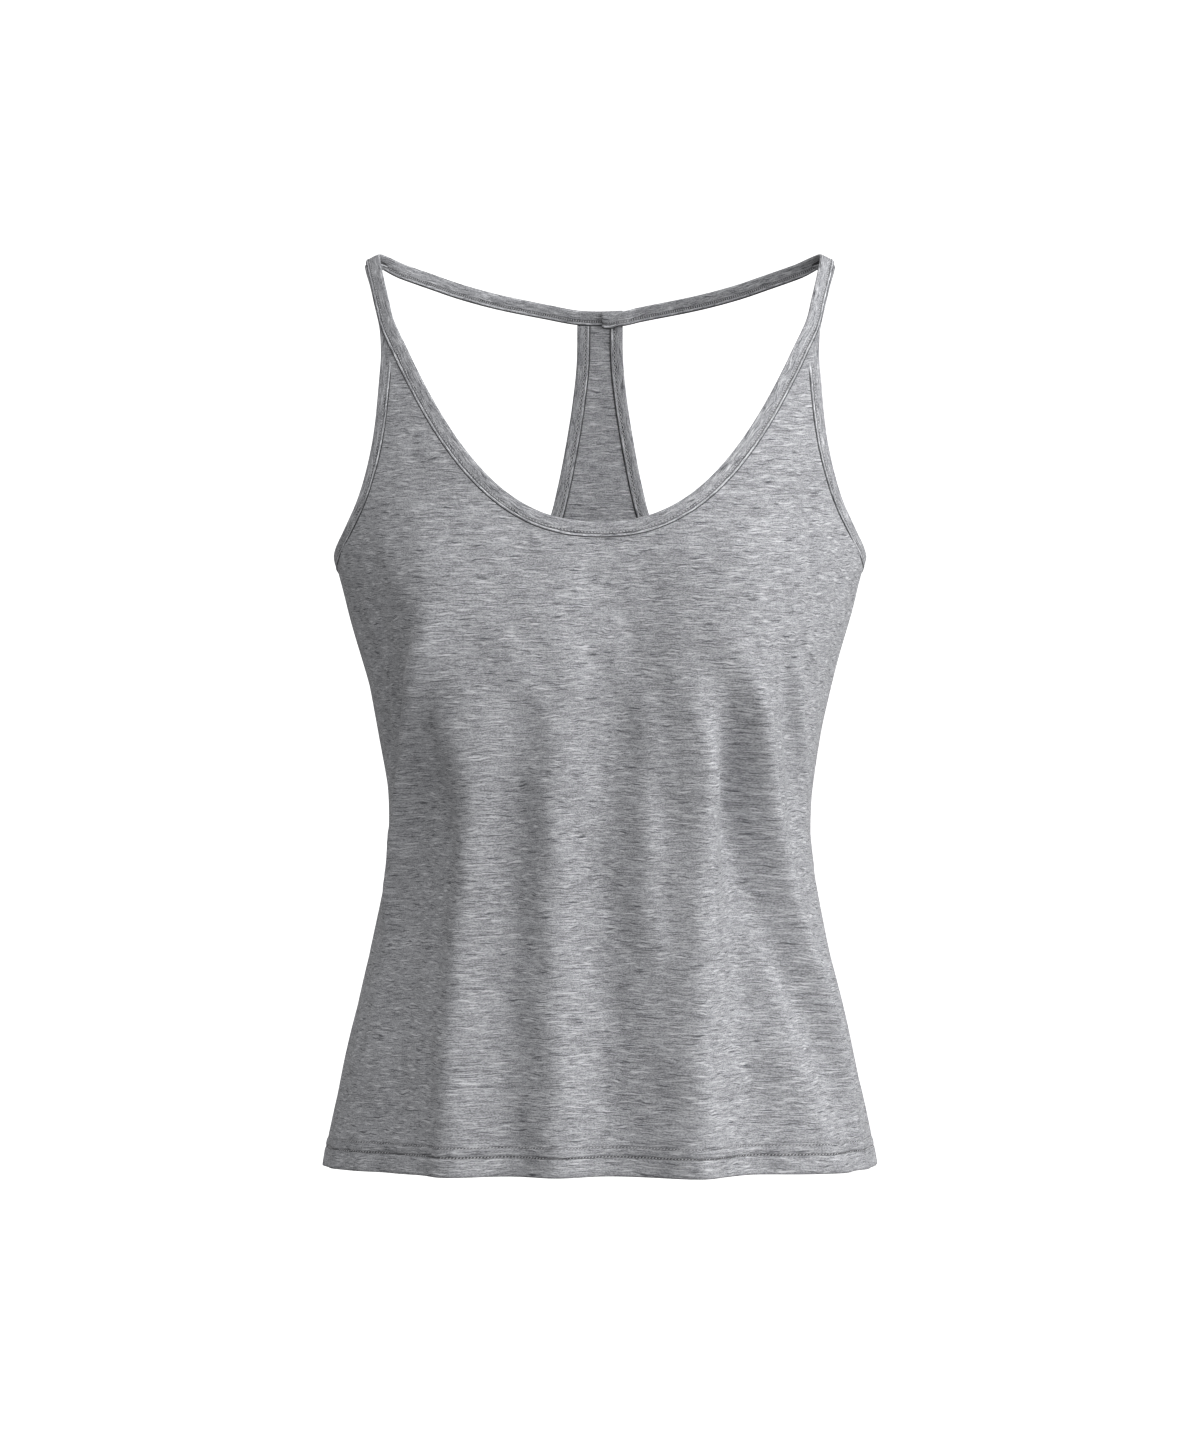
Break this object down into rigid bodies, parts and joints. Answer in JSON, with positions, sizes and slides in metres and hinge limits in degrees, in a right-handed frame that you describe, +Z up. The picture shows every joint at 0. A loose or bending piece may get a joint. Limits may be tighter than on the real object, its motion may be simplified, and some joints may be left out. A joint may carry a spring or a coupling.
{
  "type": "camisole top",
  "caption": "Sleeveless jersey camisole with a deep round neckline, narrow bound straps and a T-shaped racer back, in its hollow worn form.",
  "frame": {"origin": "midway between the crests of the two straps, where the wearer's shoulders carry the top", "axes": "+Z up, -Y towards the front of the garment, +X towards the right of a front view"},
  "size_m": [0.3596, 0.243, 0.5915],
  "materials": {
    "jersey": "heather grey single jersey, matte",
    "binding": "heather grey jersey tape, folded, matte"
  },
  "bodies": {
    "root": {"front_panel": "jersey", "back_panel": "jersey", "neck_binding": "binding", "armhole_binding_right": "binding", "armhole_binding_left": "binding"}
  },
  "joints": []
}
